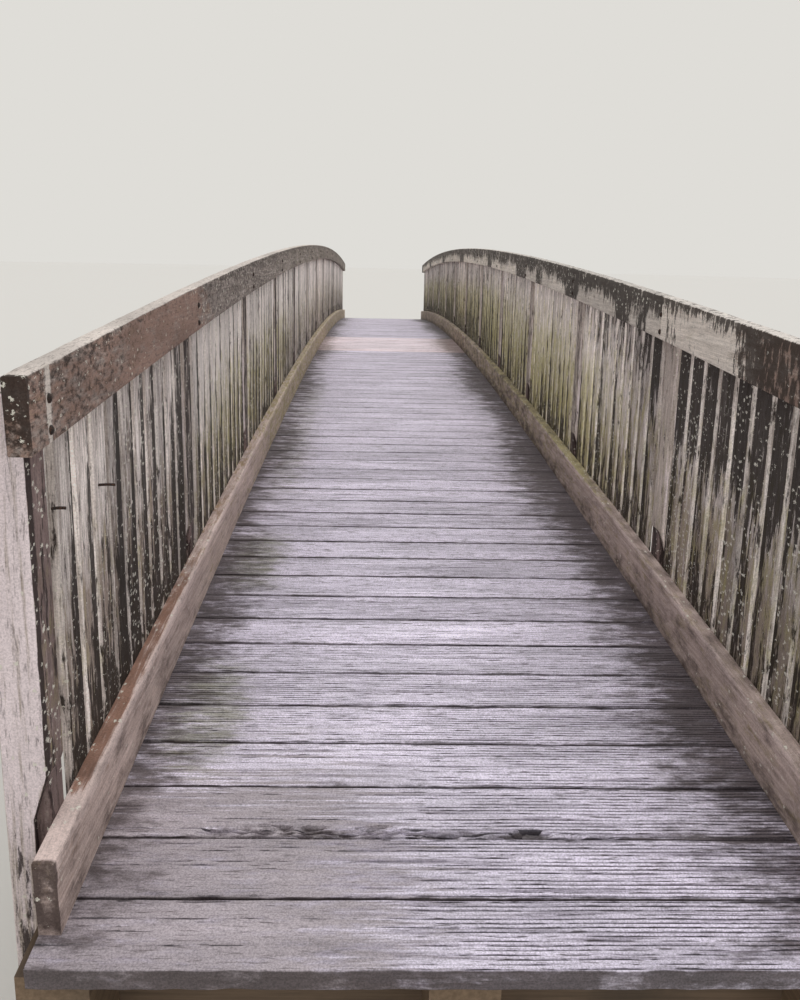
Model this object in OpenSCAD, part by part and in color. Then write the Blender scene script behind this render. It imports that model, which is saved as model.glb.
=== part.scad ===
/* [Deck] */
// Radius of the arched walking surface
arch_radius = 180000; // [90000:1000:400000]
// Number of deck boards from end to end
board_count = 96; // [72:2:104]
// Width of one deck board along the bridge
board_w = 225; // [180:5:240]
// Thickness of one deck board
board_t = 50; // [40:5:65]
// Open joint between two deck boards
board_gap = 6; // [4:1:10]
// Worn chamfer along the upper arrises of a deck board
board_chamfer = 3; // [1:1:8]
// Boards between the near end and the newer boards
boards_before_newer = 45; // [30:1:50]
// Number of newer boards side by side
newer_count = 9; // [2:1:12]

/* [Walkway] */
// Clear width between the inner faces of the two kerbs
walk_w = 1800; // [1400:50:2400]
// Distance from a kerb's outer face to the deck boards' ends
deck_overhang = 35; // [25:5:50]

/* [Kerbs and rails] */
// Thickness of the kerb and rail planks
plank_t = 50; // [40:5:70]
// Height of the kerb above the deck
kerb_h = 190; // [120:5:200]
// Chamfer on the kerb's inner top arris
kerb_chamfer = 8; // [3:1:15]
// Distance from the deck's end to the kerb's end
kerb_setback = 100; // [60:5:140]
// Posts at which two lengths of kerb meet, counted from either end post
kerb_joints = [3, 6]; // [1:1:6]
// Depth of the rail plank
rail_d = 165; // [120:5:220]
// Height of the rail's top above the deck
rail_top = 1240; // [1000:10:1400]
// Chamfer on the rail's two top arrises
rail_chamfer = 5; // [2:1:10]
// Distance from the deck's end to the rail's end
rail_setback = 130; // [100:5:180]
// Posts at which two lengths of rail meet, counted from either end post
rail_joints = [1, 3, 6]; // [1:1:6]
// Open butt joint between two lengths of kerb or rail
butt_gap = 3; // [2:1:8]

/* [Posts] */
// Number of bays between the posts of one side
bay_count = 12; // [9:1:12]
// Distance from the deck's end to the centre of the end post
post_setback = 290; // [260:5:400]
// Thickness of a post across the bridge
post_t = 100; // [90:5:140]
// Width of a post along the bridge
post_w = 125; // [75:5:150]
// Depth to which a post reaches below the deck
post_reach = 450; // [250:10:500]
// Distance from the rail's top down to the post's top
post_drop = 60; // [10:5:80]
// Height above the deck where the post's notch starts to slope inwards
notch_low = 200; // [195:1:250]
// Height above the deck where the post reaches its full thickness
notch_high = 310; // [260:1:320]
// Width along the bridge of the packer that fills a post's notch above the deck
packer_w = 90; // [60:5:110]

/* [Pales] */
// Width of a pale
pale_w = 120; // [90:1:130]
// Least gap between two pales of a bay, which share out its open width
pale_gap_min = 30; // [20:1:50]
// Gap between a post and the pale next to it
post_gap = 70; // [20:5:120]
// Thickness of a pale
pale_t = 24; // [16:1:32]
// Distance from the rail's top down to a pale's top
pale_drop = 15; // [8:1:60]
// Distance from the deck up to the feet of the pales and packers
pale_lift = 8; // [6:1:60]

/* [Beams] */
// Width of a main beam
beam_w = 160; // [120:5:220]
// Depth of a main beam
beam_d = 600; // [560:10:900]
// Distance from the deck's end to the beam's end
beam_setback = 40; // [20:5:80]
// Bay, counted from either end, in whose middle two lengths of a beam meet
splice_bay = 4; // [2:1:4]
// Length of a splice plate along the beam
splice_l = 900; // [600:50:1000]
// Depth of a splice plate
splice_d = 400; // [250:10:450]
// Thickness of a splice plate
splice_t = 10; // [6:1:16]
// Posts at which blocking stands between the beams, counted from either end post
blocking_posts = [0, 2, 4, 6]; // [0:1:6]
// Thickness of a blocking piece
blocking_t = 75; // [50:5:100]
// Distance from a beam's top and underside to the blocking's edges
blocking_inset = 75; // [40:5:120]

/* [Sills] */
// Length of a bearing sill across the bridge
sill_l = 2000; // [1900:50:2100]
// Width of a bearing sill along the bridge
sill_w = 300; // [200:10:400]
// Height of a bearing sill
sill_h = 150; // [100:10:250]
// Chamfer along a bearing sill's upper arrises
sill_chamfer = 10; // [5:1:20]

/* [Hidden] */
// Facets in a full circle of the arch's long arcs
arch_facets = 7200;
// Angle by which a beam is swept past its plumb ends before they are cut, in degrees
cut_margin = 0.2;

// Deck length along the arch, its half angle and half its level length
deck_arc = board_count * (board_w + board_gap) - board_gap;
half_angle = degrees(deck_arc / 2);
half_y = arch_radius * sin(half_angle);
// Half widths of the walkway, the planks and the deck
walk_x = walk_w / 2;
plank_x = walk_x + plank_t;
deck_x = plank_x + deck_overhang;
post_x = plank_x + post_t;
// Radii of the beam's two edges, and of the kerb's foot on the flat boards
beam_top_r = arch_radius - board_t;
beam_foot_r = beam_top_r - beam_d;
kerb_foot_r = norm([arch_radius, board_w / 2 - board_chamfer]);
beam_x = deck_x - beam_w / 2;
// Each beam is cut level where it rests on a sill
sill_y = half_y - beam_setback - sill_w / 2;
seat_y = sill_y - sill_w / 2;
centre_z = sill_h - sqrt(pow(beam_foot_r, 2) - pow(seat_y, 2));
top_z = centre_z + arch_radius + rail_top;
// Post spacing, and the pales that share out one bay
bay = 2 * (half_y - post_setback) / bay_count;
panel_w = bay - post_w - 2 * post_gap;
pale_count = floor((panel_w + pale_gap_min) / (pale_w + pale_gap_min));
pale_gap = (panel_w - pale_count * pale_w) / (pale_count - 1);
// Level places where a beam's lengths meet and end
splice_y = -post_y(splice_bay - 0.5);
beam_end = half_y - beam_setback + butt_gap / 2;
beam_ends = [-beam_end, -splice_y, splice_y, beam_end];

bay_names = [for (i = [1:bay_count]) str(i < 10 ? "0" : "", i)];
left_panels = [for (name = bay_names) str("left_pales_", name)];
right_panels = [for (name = bay_names) str("right_pales_", name)];
// The boards before and after the newer ones lie in three runs each
runs = 3;
near_runs = ["deck_boards_1", "deck_boards_2", "deck_boards_3"];
far_runs = ["deck_boards_4", "deck_boards_5", "deck_boards_6"];

// Angle of an arc length along the walking surface
function degrees(arc) = arc / arch_radius * 180 / PI;
// Height of the walking surface at a level distance from mid-span
function deck_z(y) = centre_z + sqrt(pow(arch_radius, 2) - pow(y, 2));
// Level place of a post, counted from the near end
function post_y(i) = -half_y + post_setback + i * bay;
function is_in(i, list) = len(search(i, list)) > 0;
// Level places of the posts in a list that counts from either end post
function places(posts) = [
    for (i = [0:bay_count]) if (is_in(i, posts) || is_in(bay_count - i, posts)) post_y(i)];
// Level places where the lengths of a kerb or rail end, with its butt joints on posts
function breaks(setback, joints) = concat(
    [-half_y + setback - butt_gap / 2], places(joints), [half_y - setback + butt_gap / 2]);
// First board of one run out of those that share the boards from a to b
function run_start(a, b, k) = a + floor(k * (b - a) / runs);

module left_side() { mirror([1, 0, 0]) children(); }

// Sets a child on the arch, square to the walking surface, at an angle from mid-span
module on_arch(angle) {
    translate([0, 0, centre_z])
        rotate([-angle, 0, 0])
            translate([0, 0, arch_radius])
                children();
}

// Sweeps a section, drawn as radius against x, along the arch between two angles from mid-span
module along_arch(near, far) {
    translate([0, 0, centre_z])
        rotate([0, 90, 0])
            rotate([0, 0, 180 - far])
                rotate_extrude(angle = far - near, $fn = arch_facets)
                    children();
}

// Lengths of one member, cut square, that meet at level places on the given radius
module arch_lengths(ends, radius) {
    for (i = [1:len(ends) - 1])
        along_arch(asin((ends[i - 1] + butt_gap / 2) / radius), asin((ends[i] - butt_gap / 2) / radius))
            children();
}

// A beam's lengths are cut plumb, and level where they rest on the sills
module beam(centre_x) {
    end_angle = half_angle + cut_margin;
    color("#75624d")
        for (i = [1:len(beam_ends) - 1])
            intersection() {
                along_arch(-end_angle, end_angle)
                    translate([beam_foot_r, centre_x - beam_w / 2])
                        square([beam_d, beam_w]);
                translate([-post_x, beam_ends[i - 1] + butt_gap / 2, sill_h])
                    cube([2 * post_x, beam_ends[i] - beam_ends[i - 1] - butt_gap, top_z]);
            }
}

module left_beam() { beam(-beam_x); }
module centre_beam() { beam(0); }
module right_beam() { beam(beam_x); }

// Plates on both faces of each beam, across its splices
module beam_splices() {
    faces = [-beam_w / 2 - splice_t, beam_w / 2];
    color("#83878a")
        for (y = [-splice_y, splice_y], x = [-beam_x, 0, beam_x], face = faces)
            on_arch(asin(y / arch_radius))
                translate([x + face, -splice_l / 2, -board_t - (beam_d + splice_d) / 2])
                    cube([splice_t, splice_l, splice_d]);
}

module beam_blocking() {
    inner = beam_w / 2;
    length = beam_x - beam_w;
    foot = -board_t - beam_d + blocking_inset;
    color("#6b5946")
        for (y = places(blocking_posts), x = [inner, -inner - length])
            on_arch(asin(y / arch_radius))
                translate([x, -blocking_t / 2, foot])
                    cube([length, blocking_t, beam_d - 2 * blocking_inset]);
}

module sill(y) {
    c = sill_chamfer;
    w = sill_w / 2;
    color("#5d5148")
        translate([-sill_l / 2, y, 0])
            rotate([90, 0, 90])
                linear_extrude(sill_l)
                    polygon([[-w, 0], [w, 0], [w, sill_h - c], [w - c, sill_h],
                        [-w + c, sill_h], [-w, sill_h - c]]);
}

module near_sill() { sill(-sill_y); }
module far_sill() { sill(sill_y); }

// One deck board of a given half length, flat, with its top centre at the origin
module deck_board(half_length) {
    c = board_chamfer;
    w = board_w / 2;
    translate([-half_length, 0, 0])
        rotate([90, 0, 90])
            linear_extrude(2 * half_length)
                polygon([[-w, -board_t], [w, -board_t], [w, -c], [w - c, 0], [-w + c, 0], [-w, -c]]);
}

// The first and last boards end flush with the kerbs, and the others with the beams
module board_run(first, last) {
    for (i = [first:last])
        on_arch(degrees(-deck_arc / 2 + board_w / 2 + i * (board_w + board_gap)))
            deck_board(i == 0 || i == board_count - 1 ? plank_x : deck_x);
}

module deck_boards(a, b, k) {
    color("#8f8992")
        board_run(run_start(a, b, k), run_start(a, b, k + 1) - 1);
}

module newer_deck_boards() {
    color("#c09f90")
        board_run(boards_before_newer, boards_before_newer + newer_count - 1);
}

module right_kerb() {
    c = kerb_chamfer;
    top_r = arch_radius + kerb_h;
    color("#7c6455")
        arch_lengths(breaks(kerb_setback, kerb_joints), top_r - kerb_h / 2)
            polygon([[kerb_foot_r, walk_x], [top_r - c, walk_x], [top_r, walk_x + c],
                [top_r, plank_x], [kerb_foot_r, plank_x]]);
}

module left_kerb() { left_side() right_kerb(); }

module right_rail() {
    c = rail_chamfer;
    top_r = arch_radius + rail_top;
    foot_r = top_r - rail_d;
    color("#6f5c50")
        arch_lengths(breaks(rail_setback, rail_joints), top_r - rail_d / 2)
            polygon([[foot_r, walk_x], [top_r - c, walk_x], [top_r, walk_x + c],
                [top_r, plank_x - c], [top_r - c, plank_x], [foot_r, plank_x]]);
}

module left_rail() { left_side() right_rail(); }

// Stands a profile, drawn as x against height above the deck, at a post's place
module at_post(i, width) {
    translate([0, post_y(i) + width / 2, deck_z(post_y(i))])
        rotate([90, 0, 0])
            linear_extrude(width)
                children();
}

// A post is notched below to bear on the beam, with a packer between its notch and the kerb
module right_posts() {
    top = rail_top - post_drop;
    color("#a3978e")
        for (i = [0:bay_count]) {
            at_post(i, post_w)
                polygon([[deck_x, -post_reach], [post_x, -post_reach], [post_x, top],
                    [plank_x, top], [plank_x, notch_high], [deck_x, notch_low]]);
            at_post(i, packer_w)
                polygon([[plank_x, pale_lift], [deck_x, pale_lift], [deck_x, notch_low],
                    [plank_x, notch_high]]);
        }
}

module left_posts() { left_side() right_posts(); }

// The pales of one bay, nailed to the outer faces of the kerb and the rail
module right_pales(bay_number) {
    start = post_y(bay_number) + post_w / 2 + post_gap;
    color("#aca28f")
        for (i = [0:pale_count - 1]) {
            y = start + i * (pale_w + pale_gap);
            translate([plank_x, y, deck_z(y + pale_w / 2) + pale_lift])
                cube([pale_t, pale_w, rail_top - pale_drop - pale_lift]);
        }
}

left_beam();
centre_beam();
right_beam();
beam_splices();
beam_blocking();
near_sill();
far_sill();
for (k = [0:runs - 1]) {
    deck_boards(0, boards_before_newer, k);
    deck_boards(boards_before_newer + newer_count, board_count, k);
}
newer_deck_boards();
left_kerb();
right_kerb();
left_rail();
right_rail();
left_posts();
right_posts();
for (k = [0:bay_count - 1]) {
    left_side() right_pales(k);
    right_pales(k);
}
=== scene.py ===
# %% [markdown]
# # A wooden footbridge in Blender
# A shallow arched footbridge of grooved deck boards, kerbs, posts, pales and plank handrails.
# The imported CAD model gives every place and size. This lesson dresses it: each length of timber is lofted from
# sections in code, and its weathering is painted on the mesh as layers that the materials read.

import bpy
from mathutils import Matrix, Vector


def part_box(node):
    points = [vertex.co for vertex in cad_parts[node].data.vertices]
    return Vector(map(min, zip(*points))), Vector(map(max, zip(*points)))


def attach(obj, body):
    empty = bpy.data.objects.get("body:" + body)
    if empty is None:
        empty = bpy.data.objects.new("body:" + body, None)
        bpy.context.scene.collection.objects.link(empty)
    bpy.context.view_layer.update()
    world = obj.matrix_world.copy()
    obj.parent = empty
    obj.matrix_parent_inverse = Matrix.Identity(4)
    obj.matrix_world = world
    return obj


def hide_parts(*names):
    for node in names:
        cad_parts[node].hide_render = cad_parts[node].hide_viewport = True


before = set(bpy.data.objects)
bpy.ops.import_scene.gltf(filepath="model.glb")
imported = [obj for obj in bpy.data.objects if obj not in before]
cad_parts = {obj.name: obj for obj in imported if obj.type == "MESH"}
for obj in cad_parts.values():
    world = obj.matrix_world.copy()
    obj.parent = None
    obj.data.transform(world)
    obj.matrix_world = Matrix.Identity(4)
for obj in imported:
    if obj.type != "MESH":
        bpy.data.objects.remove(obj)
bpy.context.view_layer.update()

# %% [markdown]
# ## Sizes that drive everything
# The bridge is one true arc, so a place on it is an arc length from mid-span and a height above the walking surface.
# The arc's centre follows from the highest deck board in the frame. All lengths are metres.

# %% The arch
import math

import bpy
import bmesh
import numpy as np
from mathutils import Matrix, Vector

ARCH_RADIUS = 180.0
CENTRE_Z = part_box("newer_deck_boards")[1].z - ARCH_RADIUS
BOARD_COUNT = 96
BOARD_W, BOARD_T, BOARD_GAP = 0.225, 0.050, 0.006
BOARD_PITCH = BOARD_W + BOARD_GAP
HALF_ARC = (BOARD_COUNT * BOARD_PITCH - BOARD_GAP) / 2
HALF_Y = ARCH_RADIUS * math.sin(HALF_ARC / ARCH_RADIUS)
WALK_X, PLANK_T = 0.900, 0.050
PLANK_X = WALK_X + PLANK_T
DECK_X = PLANK_X + 0.035
POST_X = PLANK_X + 0.100
SIDES = {"left": -1, "right": 1}


def on_arch(angle, height):
    """Level place and height of a point above the walking surface, at an angle from mid-span."""
    radius = ARCH_RADIUS + height
    return radius * np.sin(angle), CENTRE_Z + radius * np.cos(angle)


def deck_z(y):
    """Height of the walking surface at a place along the bridge."""
    return CENTRE_Z + np.sqrt(ARCH_RADIUS**2 - np.square(y))


print("deck from", -HALF_Y, "to", HALF_Y, "height at its end", deck_z(HALF_Y), "and crown", deck_z(0))

# %% [markdown]
# ## The camera
# It stands on the walkway's line a little before the near end, at a walker's eye height, and looks slightly down.
# The numbers come from a camera fitted to the straight and curved edges of the bridge. The picture is 1000 pixels
# high, and Blender lays its 36 mm sensor along that longer side, so the lens follows from the focal length in pixels.

# %% Camera
FOCAL_PIXELS, PICTURE_HEIGHT = 993.06, 1000
pitch, yaw, roll = (math.radians(angle) for angle in (13.898, 1.738, -1.2455))
forward = Vector((math.sin(yaw) * math.cos(pitch), math.cos(yaw) * math.cos(pitch), -math.sin(pitch)))
level = Vector((math.cos(yaw), -math.sin(yaw), 0.0))
down = forward.cross(level)
right = math.cos(roll) * level + math.sin(roll) * down
picture_up = math.sin(roll) * level - math.cos(roll) * down
camera_data = bpy.data.cameras.new("walker_camera")
camera_data.sensor_width = 36.0
camera_data.lens = camera_data.sensor_width * FOCAL_PIXELS / PICTURE_HEIGHT
camera = bpy.data.objects.new("walker_camera", camera_data)
camera.matrix_world = Matrix((right, picture_up, -forward)).transposed().to_4x4()
camera.location = (-0.2249, -12.904, 2.2756)
bpy.context.scene.collection.objects.link(camera)
bpy.context.scene.camera = camera
print("lens", camera_data.lens, "mm")

# %% [markdown]
# ## Small helpers
# A colour is written as sRGB hex and turned to linear once. One function adds a shader node with its settings and
# links, so that a material reads as a list of steps. The commonest step is a blend of two colours by a pattern.
# `ease` and `between` paint soft edges, and `wander` gives the slow random drift that sawn and worn timber has.
# Every draw is seeded, so each run gives the same bridge.

# %% Colours, materials and nodes
MIX_FACTOR, MIX_UNDER, MIX_OVER, MIX_COLOUR = 0, 6, 7, 2


def linear(hex_colour):
    """An sRGB hex colour as a linear colour with full alpha."""
    parts = [int(hex_colour[i:i + 2], 16) / 255 for i in (1, 3, 5)]
    return tuple(p / 12.92 if p <= 0.04045 else ((p + 0.055) / 1.055) ** 2.4 for p in parts) + (1.0,)


def new_material(name):
    """A material, its node tree, and the shader where its steps end."""
    material = bpy.data.materials.new(name)
    material.use_nodes = True
    return material, material.node_tree, material.node_tree.nodes["Principled BSDF"]


def add(tree, kind, inputs=None, **settings):
    """Adds a shader node, sets it, and links or sets its inputs."""
    node = tree.nodes.new("ShaderNode" + kind)
    for name, value in settings.items():
        setattr(node, name, value)
    for socket, value in (inputs or {}).items():
        if isinstance(value, bpy.types.NodeSocket):
            tree.links.new(value, node.inputs[socket])
        else:
            node.inputs[socket].default_value = value
    return node


def blend(tree, pattern, low, high, under, over, most=1.0, ramp="LINEAR"):
    """Lays a hex colour over another colour: none where a pattern is low, and most of it where it is high."""
    cover = add(tree, "MapRange", {
        "Value": pattern, "From Min": low, "From Max": high, "To Max": most}, interpolation_type=ramp).outputs[0]
    return add(tree, "Mix", {
        MIX_FACTOR: cover, MIX_UNDER: linear(under) if isinstance(under, str) else under, MIX_OVER: linear(over)},
        data_type="RGBA").outputs[MIX_COLOUR]


print("pure red in linear light", linear("#ff0000"))

# %% Soft edges and drift
def ease(start, end, value):
    """0 before start, 1 after end, smooth between them."""
    t = np.clip((value - start) / (end - start), 0.0, 1.0)
    return t * t * (3 - 2 * t)


def between(low, high, soft, value):
    """1 inside a stretch and 0 outside it, with soft ends."""
    return ease(low - soft, low + soft, value) * (1 - ease(high - soft, high + soft, value))


def wander(rng, places, spacing, amount):
    """Slow random drift along places, up to amount either way."""
    knots = np.arange(np.min(places) - spacing, np.max(places) + 2 * spacing, spacing)
    return np.interp(places, knots, rng.uniform(-amount, amount, len(knots)))


print("a soft edge from 0 to 1 has risen to", ease(0, 1, 0.25), "a quarter of the way along")

# %% [markdown]
# ## Weathered timber, as layers
# Old outdoor softwood is not one colour. Under the weather there is grain; over it lie rusty heartwood, bleached
# faces, black algae stains, green moss film and pale lichen spots. On the deck the pale layer is a painted wet sheen,
# and in a few places the dark layer carries painted shade. It could be one image, but then its scale would be
# fixed. Here each layer's rough place is painted on the mesh as an attribute from 0 to 1, and noise, stretched
# along the grain, makes its edge ragged. One recipe serves every member, with its own colours and scales.

# %% Patterns in the wood
LAYERS = ("groove", "rusty", "bleached", "stained", "mossy", "lichen", "tone", "seed")
# The real fibres, dashes of decay and grit are under 1 mm, and are drawn coarser so that they show
FIBRE_MM, DASH_MM, GRIT_MM = 4, 6, 5
STREAK_MM, RAGGED_MM, CLOUD_MM = 12, 30, 1000 / 7


def wood_patterns(tree, own, grain, stain_run, stain_mm):
    """Noises by name. Each has the axes that squeeze it, a size in mm, detail and roughness."""
    loosely, in_dashes = (tuple(axis**share for axis in grain) for share in (0.4, 0.65))
    patterns = {}
    for name, squeeze, size_mm, detail, roughness in (
            ("fibres", grain, FIBRE_MM, 3.0, 0.5), ("dashes", in_dashes, DASH_MM, 4.0, 0.65),
            ("grit", (1, 1, 1), GRIT_MM, 3.0, 0.7), ("streaks", grain, STREAK_MM, 6.0, 0.65),
            ("ragged", loosely, RAGGED_MM, 8.0, 0.74), ("clouds", loosely, CLOUD_MM, 6.0, 0.6),
            ("runs", stain_run, stain_mm, 8.0, 0.72)):
        squeezed = add(tree, "VectorMath", {0: own, 1: squeeze}, operation="MULTIPLY").outputs[0]
        patterns[name] = add(tree, "TexNoise", {
            "Vector": squeezed, "Scale": 1000 / size_mm, "Detail": detail, "Roughness": roughness}).outputs["Fac"]
    return patterns


print("grain in streaks of", STREAK_MM, "mm, with fibres drawn", FIBRE_MM, "mm wide")


# %% Layers of weather
def lay_weather(tree, colour, colours, painted, patterns, stain_spread, stain_soft):
    """Lays the painted layers over the wood, in order: each one's pattern, how far it reaches, softness, strength."""
    for layer, edge, spread, soft, strength in (
            ("rusty", "ragged", 1.6, 0.22, 0.85), ("bleached", "streaks", 1.8, 0.16, 0.90),
            ("mossy", "ragged", 1.8, 0.30, 0.70), ("stained", "runs", stain_spread, stain_soft, 0.92),
            ("groove", "dashes", 2.2, 0.14, 0.92)):
        if layer not in colours:
            continue
        rough_edge = add(tree, "Math", {
            0: patterns[edge], 1: spread, 2: -spread / 2}, operation="MULTIPLY_ADD").outputs[0]
        reach = add(tree, "Math", {0: painted[layer], 1: rough_edge}, operation="ADD").outputs[0]
        colour = blend(tree, reach, 0.5 - soft, 0.5 + soft, colour, colours[layer], strength, "SMOOTHSTEP")
    return colour


print("five layers of weather, laid from the wood outwards")

# %% [markdown]
# Lichen grows in round pale crusts of up to 10 mm, in clumps. A cell pattern gives each spot its place and a number
# of its own: the spot is there where that number is under the painted share, and low numbers make large spots.

# %% Lichen
LICHEN, LICHEN_CELL_MM = "#dcd8cc", 12
WOBBLE, WOBBLE_MM = 0.017, 1000 / 190


def lichen_spots(tree, own, share, clouds):
    """1 on a spot of lichen and 0 beside it. The wobble keeps the spots from being true circles."""
    drawn_out = add(tree, "VectorMath", {0: own, 1: (1.0, 0.55, 0.9)}, operation="MULTIPLY").outputs[0]
    wobble = add(tree, "TexNoise", {"Vector": own, "Scale": 1000 / WOBBLE_MM, "Detail": 3.0}).outputs["Color"]
    spot_at = add(tree, "VectorMath", {
        0: wobble, 1: (WOBBLE,) * 3, 2: drawn_out}, operation="MULTIPLY_ADD").outputs[0]
    cells = add(tree, "TexVoronoi", {"Vector": spot_at, "Scale": 1000 / LICHEN_CELL_MM})
    number = add(tree, "SeparateColor", {"Color": cells.outputs["Color"]}).outputs["Red"]
    clump = add(tree, "MapRange", {
        "Value": clouds, "From Min": 0.40, "From Max": 0.58, "To Min": 0.25, "To Max": 1.6}).outputs[0]
    clumped = add(tree, "Math", {0: share, 1: clump}, operation="MULTIPLY").outputs[0]
    present = add(tree, "Math", {0: number, 1: clumped}, operation="LESS_THAN").outputs[0]
    size = add(tree, "Math", {0: number, 1: -0.75, 2: 0.44}, operation="MULTIPLY_ADD").outputs[0]
    depth = add(tree, "Math", {0: size, 1: cells.outputs["Distance"]}, operation="SUBTRACT").outputs[0]
    inside = add(tree, "MapRange", {"Value": depth, "From Min": 0.0, "From Max": 0.10, "To Max": 0.9}).outputs[0]
    return add(tree, "Math", {0: inside, 1: present}, operation="MULTIPLY").outputs[0]


print("lichen in cells of", LICHEN_CELL_MM, "mm")

# %% [markdown]
# The recipe joins these steps. Colour comes first, then a value that varies by length, cloud and grit, and last
# gloss and relief, so that a material is made by naming its wood, its hex colours and the way that water runs.

# %% Recipe for weathered timber
GRAIN_RELIEF = 0.001


def weathered_timber(name, grain, colours, roughness, stain_run, stain_mm, stain_spread=2.4, stain_soft=0.12,
                     gloss=0.2, grit=0.15, ticks=0.5, cloud=0.16):
    """A timber material. grain and stain_run squeeze the axes: small along the fibres or the way water runs."""
    material, tree, shader = new_material(name)
    painted = {layer: add(tree, "Attribute", attribute_name=layer).outputs["Fac"] for layer in LAYERS}

    # Each length of timber has its own grain, so the pattern is shifted by its seed
    place = add(tree, "TexCoord").outputs["Object"]
    shift = add(tree, "VectorMath", {0: (7.3, 3.1, 5.7), "Scale": painted["seed"]}, operation="SCALE").outputs[0]
    own = add(tree, "VectorMath", {0: place, 1: shift}, operation="ADD").outputs[0]
    patterns = wood_patterns(tree, own, grain, stain_run, stain_mm)

    # Grain: streaks and fibres between a light and a dark wood, and the weather over it
    mixed = add(tree, "Math", {
        0: patterns["fibres"], 1: 0.45, 2: patterns["streaks"]}, operation="MULTIPLY_ADD").outputs[0]
    colour = blend(tree, mixed, 0.60, 0.86, colours["dark"], colours["light"])
    colour = lay_weather(tree, colour, colours, painted, patterns, stain_spread, stain_soft)

    # Dark dashes of decay along the fibres
    colour = blend(tree, patterns["dashes"], 0.56, 0.66, colour, colours["stained"], ticks)

    # Each length is a little lighter or darker, cloudy, and gritty close up
    value = add(tree, "Math", {0: painted["tone"], 1: 0.09, 2: 1.0}, operation="MULTIPLY_ADD").outputs[0]
    for pattern, edge, amount in (("clouds", 0.18, cloud), ("grit", 0.12, grit)):
        varied = add(tree, "MapRange", {
            "Value": patterns[pattern], "From Min": 0.5 - edge, "From Max": 0.5 + edge,
            "To Min": 1 - amount, "To Max": 1 + amount}).outputs[0]
        value = add(tree, "Math", {0: value, 1: varied}, operation="MULTIPLY").outputs[0]
    colour = add(tree, "HueSaturation", {"Color": colour, "Value": value}).outputs["Color"]
    spots = lichen_spots(tree, own, painted["lichen"], patterns["clouds"])
    colour = add(tree, "Mix", {MIX_FACTOR: spots, MIX_UNDER: colour, MIX_OVER: linear(LICHEN)},
                 data_type="RGBA").outputs[MIX_COLOUR]
    tree.links.new(colour, shader.inputs["Base Color"])

    # Gloss in ragged patches, and a relief of fibres, grit and lichen
    polish = add(tree, "MapRange", {
        "Value": patterns["ragged"], "From Min": 0.3, "From Max": 0.7,
        "To Min": roughness[0], "To Max": roughness[1]}).outputs[0]
    tree.links.new(polish, shader.inputs["Roughness"])
    shader.inputs["Specular IOR Level"].default_value = gloss
    rough = add(tree, "Math", {0: patterns["grit"], 1: 0.5, 2: mixed}, operation="MULTIPLY_ADD").outputs[0]
    relief = add(tree, "Math", {0: spots, 1: 0.6, 2: rough}, operation="MULTIPLY_ADD").outputs[0]
    bump = add(tree, "Bump", {"Height": relief, "Distance": GRAIN_RELIEF, "Strength": 0.9}).outputs["Normal"]
    tree.links.new(bump, shader.inputs["Normal"])
    return material


print("timber recipe with a relief of", GRAIN_RELIEF, "m")

# %% [markdown]
# ## The finishes
# The deck is wet grooved softwood: grey-purple, with a low roughness, and a painted wet sheen that lightens it in
# places.
# Newer boards keep their pink-orange heartwood. Pales and posts are rough sawn softwood gone beige-grey, with black
# stains, lichen and a green film. The kerbs are planed planks worn by feet. The left rail is still red-brown
# heartwood, and the right one carries black algae over pale wood.

# %% Timber finishes
PLUMB, ALONG, ACROSS = (1.0, 1.0, 0.045), (1.0, 0.03, 1.0), (0.03, 1.0, 1.0)
on_deck = {"stain_run": (0.4, 1.0, 1.0), "stain_mm": 55, "stain_soft": 0.36, "gloss": 0.5}
down_face = {"roughness": (0.7, 0.9), "stain_run": (1.0, 1.0, 0.17), "stain_mm": 22}
# Wet softwood, planed and grooved: a satin sheen over broken grey-purple, lightened in places by a painted wet
# sheen, with dark lines in its grooves, and wet dirt and painted shadow along its edges
wet_deck_board = weathered_timber(
    "wet_grooved_softwood", ACROSS,
    {"light": "#bfb7c8", "dark": "#918898", "bleached": "#e3dbec", "groove": "#352f38", "rusty": "#a59b9f",
     "stained": "#4b4142", "mossy": "#6a6c3f"},
    roughness=(0.34, 0.60), grit=0.28, ticks=0.6, cloud=0.22, **on_deck)
# The same boards, renewed: the same sheen over paler, pink-orange heartwood with few stains
newer_deck_board = weathered_timber(
    "newer_grooved_softwood", ACROSS,
    {"light": "#f6e4ec", "dark": "#d6c2c9", "bleached": "#fff2fa", "groove": "#8a6c70", "rusty": "#e59f80",
     "stained": "#8a7672", "mossy": "#95926a"},
    roughness=(0.36, 0.58), grit=0.2, **on_deck)
# Rough sawn softwood: fully matte, pale and furry, with hard-edged black runs
sawn_pale = weathered_timber(
    "sawn_softwood_pale", PLUMB,
    {"light": "#ddd3cf", "dark": "#ada29c", "rusty": "#84756a", "bleached": "#eee5e0", "stained": "#221913",
     "mossy": "#ada768"},
    stain_spread=3.2, stain_soft=0.14, **down_face)
# Sawn posts of the same softwood: browner and darker, because the rail sheds its water on them
sawn_post = weathered_timber(
    "sawn_softwood_post", PLUMB,
    {"light": "#c6bab2", "dark": "#a1958d", "rusty": "#705b5a", "bleached": "#dacdd0", "stained": "#2f2625",
     "mossy": "#8b8855"},
    stain_spread=2.8, **down_face)
# Planed softwood that shoes rub: smoother than sawn wood, in soft brown-grey patches with pale arrises
worn_kerb_plank = weathered_timber(
    "worn_softwood_kerb", ALONG,
    {"light": "#c4b1aa", "dark": "#a9968f", "rusty": "#835e4c", "bleached": "#cfbcb6", "stained": "#4d403d",
     "mossy": "#968f58"},
    roughness=(0.6, 0.85), stain_run=(1.0, 0.35, 1.0), stain_mm=50, stain_soft=0.40, ticks=0.25)
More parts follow.
